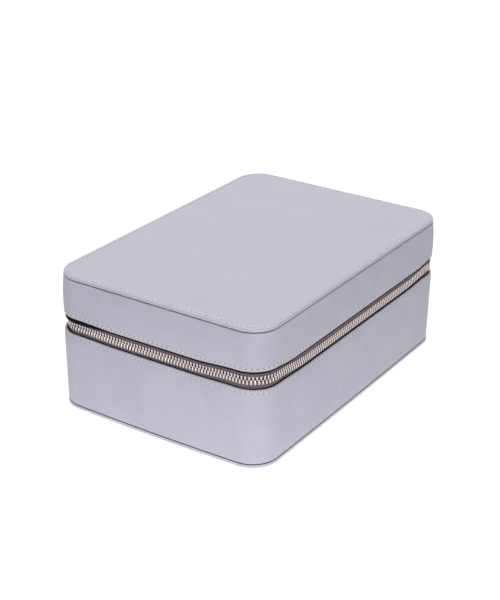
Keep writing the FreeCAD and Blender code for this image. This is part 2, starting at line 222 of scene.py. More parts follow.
def run(piece, points):
    """Carry the cap at the first (inset, height) point through the others."""
    start_z = points[0][1]
    pick(piece, "faces", lambda face: is_cap(face) and abs(face.calc_center_median().z - start_z) < 0.01 * MM)
    cap = [face for face in bmesh.from_edit_mesh(piece.data).faces if face.select][0]
    side = 1 if cap.normal.z > 0 else -1
    for (inset_a, z_a), (inset_b, z_b) in zip(points, points[1:]):
        if abs(inset_b - inset_a) + abs(z_b - z_a) < 0.001 * MM:
            continue
        if inset_b - inset_a > 0.001 * MM:
            bpy.ops.mesh.inset(thickness=inset_b - inset_a, depth=side * (z_b - z_a))
        else:
            extrude_up(z_b - z_a)


def ring_wall(name, first, second):
    """A closed wall round the case. Two runs start at one point and end at another."""
    pieces = []
    for points in (first, second):
        piece = outline(name, *points[0])
        run(piece, points)
        pick(piece, "faces", is_cap)
        bpy.ops.mesh.delete(type="ONLY_FACE")
        pieces.append(piece)
    wall = joined(pieces)
    merged(wall)
    return wall


def quarter(inset, z, radius, side, steps=8, start=0, end=90):
    """Points of a round edge: from upright at the outside to level, up (side 1) or down (side -1)."""
    angles = [math.radians(start + (end - start) * step / steps) for step in range(steps + 1)]
    return [
        (inset + radius * (1 - math.cos(angle)), z - side * radius * (1 - math.sin(angle))) for angle in angles
    ]


def rolled(inset, z, radius, side):
    """Points of a full half-round rim, over the top and back down inside."""
    return quarter(inset, z, radius, side, steps=12, end=180)


# %% [markdown]
# ## Shaping with weights
# Real leather is never dead flat: the rims are pulled up where the hide goes round a corner, and the zip sags
# between the corners. A vertex weight says how much each point takes part, and one Displace modifier then
# moves them all, which is easier to tune than moving points by hand.


# %% Weighted displacement
def displace(piece, strength, weight, direction="Z", texture=None):
    """Move each point by strength times its weight. A weight below 0 moves it the other way."""
    shares = [weight(point.co) for point in piece.data.vertices]
    for sign in (1, -1):
        chosen = [(number, sign * share) for number, share in enumerate(shares) if sign * share > 0.001]
        if not chosen:
            continue
        work_on(piece)
        group = piece.vertex_groups.new(name="shape")
        for number, share in chosen:
            group.add([number], share, "REPLACE")
        modified(
            piece,
            "DISPLACE",
            vertex_group=group.name,
            direction=direction,
            strength=sign * strength,
            mid_level=0.5 if texture else 0,
            texture=texture,
        )
        piece.vertex_groups.clear()


def eased(share):
    """0 to 1 with a soft start and end."""
    share = min(1, max(0, share))
    return share * share * (3 - 2 * share)


def corner_share(place, front_reach, side_reach):
    """1 round a corner, easing to 0 along the straight front and the straight long sides."""
    along_front = max(0, straight_x - abs(place.x)) / front_reach
    along_side = max(0, straight_y - abs(place.y)) / side_reach
    return eased(1 - along_front - along_side)


# %% [markdown]
# ## Finishes
# Colours are written as sRGB hex values and turned linear once. Patterns are scaled from real millimetres, so
# a grain or a weave keeps its size on every piece.


# %% Material helpers
def linear(hex_colour):
    """An sRGB hex colour as linear RGBA."""
    channels = [int(hex_colour[place : place + 2], 16) / 255 for place in (1, 3, 5)]
    levels = [value / 12.92 if value <= 0.04045 else ((value + 0.055) / 1.055) ** 2.4 for value in channels]
    return [*levels, 1]


def add(tree, kind, sockets=None, **settings):
    """Add a node with its settings. A socket takes a value or another node's output."""
    node = tree.nodes.new("ShaderNode" + kind)
    for setting, value in settings.items():
        setattr(node, setting, value)
    for socket, value in (sockets or {}).items():
        if isinstance(value, bpy.types.NodeSocket):
            tree.links.new(value, node.inputs[socket])
        else:
            node.inputs[socket].default_value = value
    return node


def new_finish(name, surface):
    """A material with its constant values on the shader's own sockets, and the Object coordinates it reads."""
    material = bpy.data.materials.new(name)
    material.use_nodes = True
    tree = material.node_tree
    shader = tree.nodes["Principled BSDF"]
    for socket, value in surface.items():
        shader.inputs[socket].default_value = value
    return material, tree, shader, add(tree, "TexCoord").outputs["Object"]


def plug(tree, shader, colour, gloss=None, bump=None):
    """Link the nodes that give a finish its colour, gloss and relief to its shader."""
    for socket, output in (("Base Color", colour), ("Roughness", gloss), ("Normal", bump)):
        if output is not None:
            tree.links.new(output, shader.inputs[socket])


def scale_of(millimetres):
    """A texture's scale for a feature of that size."""
    return 1 / (millimetres * MM)


def waves_of(millimetres):
    """What a length is multiplied by for a sine wave of that size."""
    return 2 * math.pi / (millimetres * MM)


# %% [markdown]
# ## Calf leather
# The cover is smooth calf leather, dyed through a cool lilac grey and given a soft semi-matt top coat. What
# the eye gets is an even colour with faint clouds where the hide took the dye differently, a very fine grain,
# and a broad soft highlight. So the colour has two slow noises, and the bump has one fine cell pattern, drawn
# a little coarser than real pores so that it still shows from a metre away.


# %% Calf leather
def calf_leather(name, base, cloud, roughness=0.5):
    """Dyed calf leather with slow clouds of a second colour."""
    material, tree, shader, place = new_finish(
        name, {"Roughness": roughness, "IOR": 1.5, "Sheen Weight": 0.08, "Sheen Roughness": 0.4}
    )
    clouds = add(tree, "TexNoise", {"Vector": place, "Scale": scale_of(30), "Detail": 5, "Roughness": 0.62})
    fibres = add(tree, "TexNoise", {"Vector": place, "Scale": scale_of(2.2), "Detail": 3, "Roughness": 0.7})
    blotch = add(tree, "MapRange", {0: clouds.outputs[0], 1: 0.38, 2: 0.62})
    dye = add(tree, "Mix", {0: blotch.outputs[0], 6: linear(base), 7: linear(cloud)}, data_type="RGBA")
    speck = add(tree, "MapRange", {0: fibres.outputs[0], 1: 0.3, 2: 0.7, 3: 0.965, 4: 1.03})
    colour = add(tree, "HueSaturation", {"Color": dye.outputs[2], "Value": speck.outputs[0]})
    pores = add(tree, "TexVoronoi", {"Vector": place, "Scale": scale_of(1.1)}, feature="SMOOTH_F1")
    creases = add(tree, "TexNoise", {"Vector": place, "Scale": scale_of(7), "Detail": 5})
    relief = add(tree, "Math", {0: pores.outputs[0], 1: creases.outputs[0]}, operation="ADD")
    bump = add(tree, "Bump", {"Height": relief.outputs[0], "Strength": 0.16, "Distance": 0.1 * MM})
    dullest = roughness + 0.05
    gloss = add(tree, "MapRange", {0: fibres.outputs[0], 1: 0.3, 2: 0.7, 3: roughness - 0.05, 4: dullest})
    plug(tree, shader, colour.outputs[0], gloss=gloss.outputs[0], bump=bump.outputs[0])
    return material


wall_leather = calf_leather("calf_leather_smooth_dyed", "#C5C4D2", "#BFBECD")
panel_leather = calf_leather("calf_leather_smooth_stretched", "#C5C4D2", "#C2C1CF", roughness=0.46)
print(wall_leather.name, panel_leather.name)

# %% [markdown]
# ## Edge paint, painted shade, thread and needle holes
# Where two cut edges of leather meet in a seam they are sealed with dark edge paint, which reads as a thin
# dark line. Under the top that line is drawn matt and all but black: edge paint, with painted shade of its
# groove. Behind the rims the same near-black finish is painted shade alone. The thread is waxed
# polyester, pale on the lid and closer to the leather's own tone on the base and the pull. Each needle hole
# is a small dimple beside it, drawn dark as painted shade for the hole.


# %% Edge paint, painted shade, thread and needle holes
def paint_of(name, dark, light, surface):
    """Dark paint, a little streaky from the brush: edge paint, or painted shade."""
    material, tree, shader, place = new_finish(name, surface)
    strokes = add(tree, "TexNoise", {"Vector": place, "Scale": scale_of(1.6), "Detail": 3})
    tint = add(tree, "Mix", {0: strokes.outputs[0], 6: linear(dark), 7: linear(light)}, data_type="RGBA")
    plug(tree, shader, tint.outputs[2])
    return material


edge_paint = paint_of("edge_paint_brushed_acrylic", "#2B2730", "#453F4A", {"Roughness": 0.6, "IOR": 1.48})
# Painted shade: a near-black matt finish with little gloss, for the shade in the groove under the top and in
# the crevices behind the rims.
matt = {"Roughness": 0.95, "IOR": 1.4, "Specular IOR Level": 0.2}
painted_shade_black = paint_of("painted_shade_matt_black", "#0C0A0D", "#1A171C", matt)


def thread_of(name, dark, light):
    """Waxed thread, its plies drawn as slanting lines 0.6 mm apart."""
    material, tree, shader, place = new_finish(name, {"Roughness": 0.5, "IOR": 1.5, "Sheen Weight": 0.15})
    slant = add(tree, "VectorMath", {0: place, 1: (1, 1, 1.6)}, operation="DOT_PRODUCT")
    plies = add(tree, "Math", {0: slant.outputs["Value"], 1: waves_of(0.6)}, operation="MULTIPLY")
    twist = add(tree, "Math", {0: plies.outputs[0]}, operation="SINE")
    tint = add(tree, "Mix", {0: twist.outputs[0], 6: linear(dark), 7: linear(light)}, data_type="RGBA")
    bump = add(tree, "Bump", {"Height": twist.outputs[0], "Strength": 0.3, "Distance": 0.05 * MM})
    plug(tree, shader, tint.outputs[2], bump=bump.outputs[0])
    return material


pale_thread = thread_of("polyester_thread_waxed", "#E4E3EA", "#FAF9FB")
toned_thread = thread_of("polyester_thread_waxed_toned", "#D3D2DC", "#E9E8EE")

# Painted shade: each needle hole is a dark dimple, drawn dark for the shade inside the hole.
needle_hole, tree, shader, place = new_finish("needle_hole_painted_shade", {"Roughness": 0.9})
nap = add(tree, "TexNoise", {"Vector": place, "Scale": scale_of(0.4), "Detail": 2})
tint = add(tree, "Mix", {0: nap.outputs[0], 6: linear("#4E4A56"), 7: linear("#6A6672")}, data_type="RGBA")
plug(tree, shader, tint.outputs[2])
print(edge_paint.name, painted_shade_black.name, pale_thread.name, toned_thread.name, needle_hole.name)

# %% [markdown]
# ## The base's leather wall
# On the real case one long strip of leather is wrapped round the base, glued down and turned in over the rim
# at the zip. It could be a thick box with bevels, but a wrapped wall is never a box: over its padding it
# swells a little towards the rim, and the turned-in edge is a full round roll with a dark crevice behind it,
# where the tape goes in. A profile run draws all of that at once. A shallow groove is pressed in along the
# stitches, where the thread pulls the leather down.

# %% Base leather wall
rim_roll = 0.95 * MM
seam_roll = 0.5 * MM
cover_rim = base_rim - 0.7 * MM
base_stitch_z = base_rim - 3.2 * MM
groove_half = 0.8 * MM
groove_depth = 0.16 * MM
rim_inset = -0.45 * MM
waist = (-0.6 * MM, 52 * MM)  # where the wall stands out furthest
foot_z = bottom_seam + 0.3 * MM

upper_run = [waist, (-0.55 * MM, base_stitch_z - groove_half), (-0.5 * MM, base_stitch_z)]
upper_run += [(rim_inset, base_stitch_z + groove_half), *rolled(rim_inset, cover_rim, rim_roll, 1)]
upper_run += [(leather, cover_rim - 2.5 * MM), (leather, foot_z)]
foot_inset = 0.05 * MM
lower_run = [waist, (-0.5 * MM, 40 * MM), (-0.3 * MM, 26 * MM), (-0.1 * MM, 12 * MM), (foot_inset, 3.6 * MM)]
lower_run += [*quarter(foot_inset, foot_z, seam_roll, -1, steps=4), (leather, foot_z)]
base_wall = ring_wall("base_wall_cover", upper_run, lower_run)


def press_groove(piece, height):
    """Push the outside's points at that height in along their normals."""
    edit(piece)
    pick(piece, "verts", lambda point: abs(point.co.z - height) < 0.05 * MM and point.normal.z ** 2 < 0.5)
    bpy.ops.transform.shrink_fatten(value=-groove_depth)
    bpy.ops.object.mode_set(mode="OBJECT")


def side_mix(place, front, corner, right, elsewhere=0.0):
    """A value that changes smoothly from the front to the corners and the right side."""
    round_corner = corner_share(place, 38 * MM, 34 * MM)
    if place.y < -straight_y:
        along = front
    elif place.x > straight_x and place.y < straight_y:
        along = right
    else:
        along = elsewhere
        round_corner = 0
    return along * (1 - round_corner) + corner * round_corner


def rim_settle(place):
    """How far the base's rim has sunk at a point: most on the right side, least round the corners."""
    return side_mix(place, 0.5, -0.35, 0.95) * eased((place.z - 53 * MM) / (5 * MM))


def bow(piece):
    """Let the foot of the base swell out between its corners, more at the front than at the sides."""
    for axis, swelling, half, straight in (
        (0, 0.4 * MM, half_x, straight_y),
        (1, 1.1 * MM, half_y, straight_x),
    ):

        def share(place):
            between = max(0, 1 - (place[1 - axis] / straight) ** 2)
            near_skin = eased((abs(place[axis]) - half + 12 * MM) / (9 * MM))
            return math.copysign(between * near_skin * eased((56 * MM - place.z) / (44 * MM)), place[axis])

        displace(piece, swelling, share, "XY"[axis])


press_groove(base_wall, base_stitch_z)
displace(base_wall, -1 * MM, rim_settle)
bow(base_wall)
smooth(base_wall)
settle(base_wall, "base", wall_leather, "case_leather", "base_wall_leather")

# %% [markdown]
# ## The lid's leather wall
# The lid's wall is the same strip turned over, and rounder at its shoulder. Round each corner its rim rides up
# by two millimetres, or by about half of that at the front's left corner, because the leather is stretched
# there. The weight eases that out along the sides and up the wall.

# %% Lid leather wall
lid_cover_rim = lid_rim - 0.5 * MM
lid_stitch_z = lid_rim + 2.0 * MM
corner_lift = 2.0 * MM
lift_reach = 17 * MM
front_left_slack = 0.55
shoulder = top_seam - 0.9 * MM
lower_run = [(-0.7 * MM, 82 * MM), (-0.6 * MM, 77 * MM), (-0.5 * MM, lid_stitch_z + groove_half)]
lower_run += [(-0.47 * MM, lid_stitch_z), (rim_inset, lid_stitch_z - groove_half)]
lower_run += [*rolled(rim_inset, lid_cover_rim, rim_roll, -1), (leather, lid_cover_rim + 2.5 * MM)]
lower_run += [(leather, shoulder)]
upper_run = [(-0.7 * MM, 82 * MM), (-0.6 * MM, 88 * MM), (-0.3 * MM, 93 * MM), (0.1 * MM, 97 * MM)]
upper_run += [*quarter(0.2 * MM, shoulder, 1.1 * MM, 1), (leather, shoulder)]
lid_wall = ring_wall("lid_wall_cover", upper_run, lower_run)
press_groove(lid_wall, lid_stitch_z)


def rim_lift(place):
    """How much the lid's rim rides up at a point, least at the front's left corner."""
    slack = front_left_slack if max(place.x, place.y) < 0 else 1
    return slack * corner_share(place, 35 * MM, 15 * MM) * eased(1 - (place.z - lid_rim) / lift_reach)


displace(lid_wall, corner_lift, rim_lift)
smooth(lid_wall)
settle(lid_wall, "lid", wall_leather, "case_leather", "lid_wall_leather")

# %% [markdown]
# ## The padded top
# The top is a sheet of leather over thin foam, stitched down all round near its edge. It is flat from a
# distance, but three things show that it is padded: its edge is full and round, the stitches lie in a shallow
# valley, and inside them the surface swells gently. The edge and the valley are profile steps. The middle is
# bisected into a grid so that a weight can raise the swell and a soft cloud texture can unsettle it.

# %% Padded top
panel_inset = 0.5 * MM
panel_foot = top_seam - 0.2 * MM
top_stitch_in = 3.5 * MM
edge_top = top_z - 0.5 * MM
swell = 1.1 * MM
swell_reach = 42 * MM
grid_inset = 14 * MM
panel_side = 0.4 * MM
panel_run = [(panel_inset, panel_foot + panel_side), *quarter(panel_inset, edge_top, 1.5 * MM, 1)]
panel_run += [(2.3 * MM, edge_top), (2.9 * MM, edge_top - 0.22 * MM), (top_stitch_in, edge_top - 0.4 * MM)]
panel_run += [(4.2 * MM, edge_top - 0.22 * MM), (5.0 * MM, edge_top), (6.4 * MM, edge_top + 0.08 * MM)]
panel_run += [(8.5 * MM, edge_top + 0.1 * MM), (11 * MM, edge_top + 0.12 * MM)]
panel_run += [(grid_inset, edge_top + 0.13 * MM)]
top_cover = outline("top_cover", panel_inset, panel_foot)
extrude_up(panel_side)
run(top_cover, panel_run)

inner_x = half_x - grid_inset
inner_y = half_y - grid_inset
cap_z = panel_run[-1][1]
GRID = 14


def on_cap(face):
    """Whether a face lies in the flat middle of the top."""
    return abs(face.calc_center_median().z - cap_z) < 0.01 * MM and face.normal.z > 0.9


for axis, reach in ((Vector((1, 0, 0)), inner_x), (Vector((0, 1, 0)), inner_y)):
    for step in range(1, GRID):
        pick(top_cover, "faces", on_cap)
        bpy.ops.mesh.bisect(plane_co=axis * (2 * reach * step / GRID - reach), plane_no=axis)


def edge_distance(place):
    """How far inside the outline a point lies, seen from above."""
    over_x = abs(place.x) - straight_x
    over_y = abs(place.y) - straight_y
    if over_x > 0 and over_y > 0:
        return corner_radius - math.hypot(over_x, over_y)
    return corner_radius - max(over_x, over_y)


def swell_share(place):
    """0 at the stitches, rising fast and then slowly to 1 in the middle."""
    inside = min(1, max(0, (edge_distance(place) - top_stitch_in) / swell_reach))
    return 1 - (1 - inside) ** 2.4


displace(top_cover, swell, lambda place: swell_share(place) if place.z > edge_top - 0.5 * MM else 0)
hide_clouds = bpy.data.textures.new("hide_clouds", "CLOUDS")
hide_clouds.noise_scale = 0.07
displace(top_cover, 0.35 * MM, swell_share, "NORMAL", hide_clouds)
smooth(top_cover, 50)
settle(top_cover, "lid", panel_leather, "panel_leather", "top_panel")

# %% [markdown]
# ## The bottom panel
# The bottom is a plain leather panel under the base's wall. Its edge shows as a pale strip below the dark
# seam. It is the outline run down instead of up, with a small round at the foot.

# %% Bottom panel
sole_top = bottom_seam - 0.3 * MM
sole_inset = foot_inset - 0.15 * MM
sole_side = sole_top - 0.2 * MM
sole_run = [(sole_inset, sole_side), *quarter(sole_inset, 0, 0.35 * MM, -1, steps=4), (3 * MM, 0), (9 * MM, 0)]
sole = outline("bottom_cover", sole_inset, sole_top)
extrude_up(sole_side - sole_top)
run(sole, sole_run)
merged(sole)
bow(sole)
smooth(sole, 50)
settle(sole, "base", panel_leather, "panel_leather", "bottom_panel")

# %% [markdown]
# ## Dark seam lines
# The painted edges between wall and panels are thin beads sitting in the grooves that the rolled edges leave.
# They could be dark stripes in a material, but a bead stays crisp at any distance and catches a little light.


# %% Seam beads
def seam_bead(name, inset, low, high, depth=2 * MM, round_edge=0.49):
    """A thin bead round the case between two heights. Its outer edges are rounded by a share of its height."""
    radius = (high - low) * round_edge
    middle = (high + low) / 2
    back = inset + depth
    runs = []
    for level, side in ((high, 1), (low, -1)):
        edge = quarter(inset, level, radius, side, steps=4)
        runs.append([(inset, middle), *edge, (back, level), (back + 0.01 * MM, middle)])
    bead = ring_wall(name, *runs)
    smooth(bead)
    return bead


# The top seam's bead is near black: real edge paint, with painted shade of the groove it sits in.
top_edge = seam_bead("top_seam_edge", 0.75 * MM, shoulder - 0.1 * MM, panel_foot + 0.1 * MM)
settle(top_edge, "lid", painted_shade_black, "case_leather")
bottom_edge = seam_bead("bottom_seam_edge", foot_inset + 0.1 * MM, sole_top - 0.1 * MM, foot_z + 0.15 * MM)
bow(bottom_edge)
settle(bottom_edge, "base", edge_paint, "case_leather")

# %% [markdown]
# ## Walking round the case
# Stitches and zip teeth repeat at an even pitch along the outline. One walk gives the place and the outward
# direction at any distance, counted from the middle of the back, round the left side, the front and the right.

# %% Places along the outline
def walk(distance, inset):
    """A point on the outline and the angle of its outward direction, in radians."""
    radius = corner_radius - inset
    arc = radius * math.pi / 2
    legs = (straight_x, arc, 2 * straight_y, arc, 2 * straight_x, arc, 2 * straight_y, arc, straight_x)
    place = Vector((0, half_y - inset))
    angle = math.pi / 2
    for number, leg in enumerate(legs):
        outward = Vector((math.cos(angle), math.sin(angle)))
        if number % 2 == 0:
            ahead = Vector((-outward.y, outward.x))
            if distance <= leg:
                return place + ahead * distance, angle
            place = place + ahead * leg
        else:
            centre = place - outward * radius
            turned = angle + min(distance, arc) / radius
            place = centre + Vector((math.cos(turned), math.sin(turned))) * radius
            if distance <= leg:
                return place, turned
            angle = turned
        distance -= leg
    return place, angle


def way_round(inset):
    """The length of the whole outline."""
    return 4 * (straight_x + straight_y) + 2 * math.pi * (corner_radius - inset)


def stand(distance, inset, z, tilt=0.0):
    """The matrix that puts a copy there: its X along the case, its Y outwards, or upwards when tilted."""
    place, angle = walk(distance, inset)
    return (
        Matrix.Translation((place.x, place.y, z))
        @ Matrix.Rotation(angle - math.pi / 2, 4, "Z")
        @ Matrix.Rotation(tilt, 4, "X")
    )


def copies(name, pattern, places):
    """One mesh that holds a copy of the pattern at each place. The pattern itself is removed."""
    whole = bmesh.new()
    for place in places:
        copy = pattern.data.copy()
        copy.transform(place)
        whole.from_mesh(copy)
        bpy.data.meshes.remove(copy)
    mesh = bpy.data.meshes.new(name)
    whole.to_mesh(mesh)
    whole.free()
    for material in pattern.data.materials:
        mesh.materials.append(material)
    bpy.data.objects.remove(pattern)
    return in_scene(name, mesh)


# %% [markdown]
# ## Stitches
# Each stitch is a short thread, fat in the middle and sunk at both ends into needle holes. One stitch and one
# hole are modelled once as a low sphere pulled long and a flat dark dimple, and then copied round the case.

# %% One stitch, then three rows
stitch_pitch = 3.95 * MM


def pulled_sphere(name, rings, size, finish, **placement):
    """A low sphere pulled to a size."""
    nothing_selected()
    bpy.ops.mesh.primitive_uv_sphere_add(segments=8, ring_count=rings, radius=0.5, **placement)
    piece = named(name)
    piece.scale = size
    bpy.ops.object.transform_apply(location=True, rotation=True, scale=True)
    piece.data.materials.append(finish)
    return piece


def one_stitch(length, thickness, thread_finish, hole_size, pitch=stitch_pitch):
    """A thread along X with a needle hole at its end."""
    thread_size = (thickness, thickness, length)
    thread = pulled_sphere("stitch", 6, thread_size, thread_finish, rotation=(0, math.pi / 2, 0))
    hole_shape = (hole_size, 0.24 * MM, 0.75 * hole_size)
    hole = pulled_sphere("hole", 4, hole_shape, needle_hole, location=(pitch / 2, 0, 0))
    stitch = joined([thread, hole])
    bpy.ops.object.shade_smooth()
    return stitch


def stitch_row(name, thread_finish, hole_size, inset, z, tilt=0.0):
    """A row of stitches all round at that height."""
    count = round(way_round(inset) / stitch_pitch)
    step = way_round(inset) / count
    thread = one_stitch(2.8 * MM, 0.62 * MM, thread_finish, hole_size)
    row = copies(name, thread, [stand((number + 0.5) * step, inset, z, tilt) for number in range(count)])
    print(count, "stitches,", round(1000 * step, 2), "mm apart")
    return row


sunk = groove_depth - 0.03 * MM
base_stitches = stitch_row("stitches_base", toned_thread, 0.7 * MM, sunk - 0.5 * MM, base_stitch_z)
displace(base_stitches, -1 * MM, rim_settle)
settle(base_stitches, "base", None, "case_leather")
lid_stitches = stitch_row("stitches_lid", pale_thread, 0.95 * MM, sunk - 0.47 * MM, lid_stitch_z)
displace(lid_stitches, corner_lift, rim_lift)
settle(lid_stitches, "lid", None, "case_leather")
top_thread_z = edge_top - 0.22 * MM
top_stitches = stitch_row("stitches_top", pale_thread, 0.5 * MM, top_stitch_in, top_thread_z, math.pi / 2)
settle(top_stitches, "lid", None, "panel_leather")

# %% [markdown]
# ## Zip tape
# The tape is woven polyester: tight ribs across it and a beaded edge that the teeth bite. Its pattern follows
# the case by using height for one thread direction and the sum of x and y for the other, because on each
# straight side only one of those two changes.

# %% Zip tape weave
zip_tape, tree, shader, place = new_finish("polyester_tape_woven", {"Roughness": 0.85, "Sheen Weight": 0.2})
along = add(tree, "VectorMath", {0: place, 1: (1, 1, 0)}, operation="DOT_PRODUCT")
height = add(tree, "SeparateXYZ", {0: place})
picks = add(tree, "Math", {0: along.outputs["Value"], 1: waves_of(0.9)}, operation="MULTIPLY")
ends = add(tree, "Math", {0: height.outputs[2], 1: waves_of(0.8)}, operation="MULTIPLY")
pick_wave = add(tree, "Math", {0: picks.outputs[0]}, operation="SINE")
end_wave = add(tree, "Math", {0: ends.outputs[0]}, operation="SINE")
weave = add(tree, "Math", {0: pick_wave.outputs[0], 1: end_wave.outputs[0]}, operation="MULTIPLY")
level = add(tree, "MapRange", {0: weave.outputs[0], 1: -1, 2: 1})
tint = add(tree, "Mix", {0: level.outputs[0], 6: linear("#5C4D53"), 7: linear("#8A7880")}, data_type="RGBA")
bump = add(tree, "Bump", {"Height": weave.outputs[0], "Strength": 0.6, "Distance": 0.12 * MM})
plug(tree, shader, tint.outputs[2], bump=bump.outputs[0])

# %% [markdown]
# The tape is glued between leather and board and comes out over the rim to the teeth. Between the corners the
# whole chain sags a little, more along the right side than at the front, and both tapes and teeth follow one
# weight so that they stay together. The back is left open for the spine.

# %% Zip tapes
tape = 0.6 * MM
chain_inset = 1.7 * MM
tape_foot = 3 * MM  # from the chain's middle to where the tape leaves the teeth
bead_reach = 1.2 * MM
tuck = 4 * MM
tuck_in = leather + 0.08 * MM
spine_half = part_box("hinge_spine")[1].x
gap_half = spine_half + 0.3 * MM
chain_sag = 2.1 * MM
tuck_depth = 2.4 * MM
tuck_drop = 2.3 * MM
zip_halves = (("base", -1, "lower"), ("lid", 1, "upper"))


def near_chain(place):
    """1 at the teeth, easing to 0 where the tape goes in behind the rims."""
    return eased((6.5 * MM - abs(place.z - chain_z)) / (3.2 * MM))


def sag_share(place):
    """How much a point of the zip sags: the front some, the right side most, elsewhere not at all."""
    return side_mix(place, 0.62, -0.25, 1) * near_chain(place)


def tuck_share(place):
    """How far the zip is pushed in near the left end of the front."""
    if place.y > -straight_y:
        return 0
    to_the_left = eased((-38 * MM - place.x) / (28 * MM))
    to_the_front = eased((-108 * MM - place.y) / (13 * MM))
    return to_the_left * to_the_front * near_chain(place)


def hang(piece):
    """Let a part of the zip sag and tuck in."""
    displace(piece, -chain_sag, sag_share)
    displace(piece, tuck_depth, tuck_share, "Y")
    displace(piece, -tuck_drop, tuck_share)


def behind_spine(face):
    """Whether a face lies in the gap that is left for the spine."""
    middle = face.calc_center_median()
    return abs(middle.x) < gap_half and middle.y > 0


def zip_tape_piece(name, side):
    """The lower (-1) or upper (1) tape, open at the back."""
    rim = base_rim if side < 0 else lid_rim
    tip_inset = chain_inset - tape / 2
    tip_z = chain_z + side * bead_reach
    foot = chain_z + side * tape_foot
    bend = rim - side * 0.2 * MM
    end = rim + side * tuck
    back = tuck_in + tape
    outer = [(tip_inset, tip_z), (tip_inset, foot), (tuck_in, bend), (tuck_in, end), (back, end)]
    inner = [(tip_inset, tip_z), (tip_inset + tape, tip_z), (tip_inset + tape, foot), (back, bend), (back, end)]
    piece = ring_wall(name, outer, inner)
    edit(piece)
    for cut in (-gap_half, gap_half):
        bpy.ops.mesh.select_all(action="SELECT")
        bpy.ops.mesh.bisect(plane_co=(cut, 0, 0), plane_no=(1, 0, 0))
    pick(piece, "faces", behind_spine)
    bpy.ops.mesh.delete(type="FACE")
    pick(piece, "edges", lambda edge: edge.is_boundary)
    bpy.ops.mesh.edge_face_add()
    bpy.ops.object.mode_set(mode="OBJECT")
    hang(piece)
    smooth(piece)
    return piece


for body, side, half in zip_halves:
    settle(zip_tape_piece(f"zip_tape_{body}", side), body, zip_tape, "zip_tape", f"zip_tape_{half}")

# %% [markdown]
# Behind each rolled rim, where the tape goes in under it, a near-black bead is painted shade for the crevice.
# The two beads follow the same settling and lifting as the rims, and the lid's bead hangs lower where the chain
# is tucked in, as painted shadow under the lid's rim.

# %% Painted shade behind the rims
base_rim_shade = seam_bead("base_rim_painted_shade", 1.2 * MM, cover_rim - 1.3 * MM, cover_rim - 0.05 * MM, 1.15 * MM)
displace(base_rim_shade, -1 * MM, rim_settle)
settle(base_rim_shade, "base", painted_shade_black, "case_leather")
lid_rim_shade_foot = lid_cover_rim - 1.5 * MM
lid_rim_shade = seam_bead("lid_rim_painted_shade", 0.35 * MM, lid_rim_shade_foot, lid_cover_rim + 0.2 * MM, 1.95 * MM, 0.2)
# Painted shadow: where the chain is tucked in, the lid's bead hangs lower, for the deeper shade under the rim.
displace(lid_rim_shade, -2.2 * MM, lambda place: tuck_share(place) if place.z < lid_cover_rim - 0.6 * MM else 0)
displace(lid_rim_shade, corner_lift, rim_lift)
settle(lid_rim_shade, "lid", painted_shade_black, "case_leather")

# %% [markdown]
# ## Zip teeth
# The teeth are pressed metal, plated a pale rose nickel: a body that clamps the tape's bead and a narrower
# head that reaches between the heads of the other row. One tooth is a cube, extruded and narrowed for its
# head and lightly bevelled, so that it has few faces and still catches the light. Its two sides, where it was
# sheared from the strip, are duller, and they are drawn dark as painted shade where the teeth face each
# other. Both rows have a pitch of 2.5 mm and are half a pitch apart.

# %% Plated metal
tooth_metal, tree, shader, place = new_finish(
    "nickel_plate_rose_tumbled", {"Metallic": 1.0, "Roughness": 0.3}
)
batch = add(tree, "TexNoise", {"Vector": place, "Scale": scale_of(3), "Detail": 2})
tint = add(tree, "Mix", {0: batch.outputs[0], 6: linear("#C2B6B4"), 7: linear("#DDD3D2")}, data_type="RGBA")
scuff = add(tree, "TexNoise", {"Vector": place, "Scale": scale_of(0.5), "Detail": 4})
gloss = add(tree, "MapRange", {0: scuff.outputs[0], 1: 0.3, 2: 0.7, 3: 0.22, 4: 0.42})
plug(tree, shader, tint.outputs[2], gloss=gloss.outputs[0])

# Painted shade: the teeth's sides, which face each other in the chain, get a dark, duller metal for the shade
# between the teeth.
tooth_side_shade, tree, shader, place = new_finish(
    "nickel_plate_rose_painted_shade", {"Metallic": 1.0, "Roughness": 0.5}
)
marks = add(tree, "TexNoise", {"Vector": place, "Scale": scale_of(0.6), "Detail": 3})
tint = add(tree, "Mix", {0: marks.outputs[0], 6: linear("#5A4E50"), 7: linear("#85787A")}, data_type="RGBA")
plug(tree, shader, tint.outputs[2])

# %% Teeth
tooth_pitch = 2.5 * MM
tooth_body = (1.35 * MM, 2.4 * MM, 1.7 * MM)  # along the zip, outwards and up
tooth_drop = 2.15 * MM  # from the chain's middle to the body's
end_clearance = 1 * MM


def one_tooth():
    """A tooth of the lower row, about the middle of the chain."""
    nothing_selected()
    bpy.ops.mesh.primitive_cube_add(size=1)
    tooth = named("tooth")
    edit(tooth)
    bpy.ops.transform.resize(value=tooth_body)
    bpy.ops.transform.translate(value=(0, 0, -tooth_drop))
    pick(tooth, "faces", lambda face: face.normal.z > 0.9)
    for rise, narrow, thin in ((0.35, 0.8, 0.92), (0.95, 0.95, 0.92), (0.4, 0.6, 0.8)):
        extrude_up(rise * MM)
        bpy.ops.transform.resize(value=(narrow, thin, 1))
    bpy.ops.mesh.select_all(action="SELECT")
    bpy.ops.mesh.bevel(offset=0.16 * MM, segments=1, affect="EDGES", clamp_overlap=True)
    bpy.ops.object.mode_set(mode="OBJECT")
    tooth.data.materials.append(tooth_metal)
    tooth.data.materials.append(tooth_side_shade)
    # The sides along the zip take the painted shade.
    for face in tooth.data.polygons:
        face.material_index = int(abs(face.normal.x) > 0.9)
    smooth(tooth, 30)
    print("a tooth has", len(tooth.data.polygons), "faces")
    return tooth


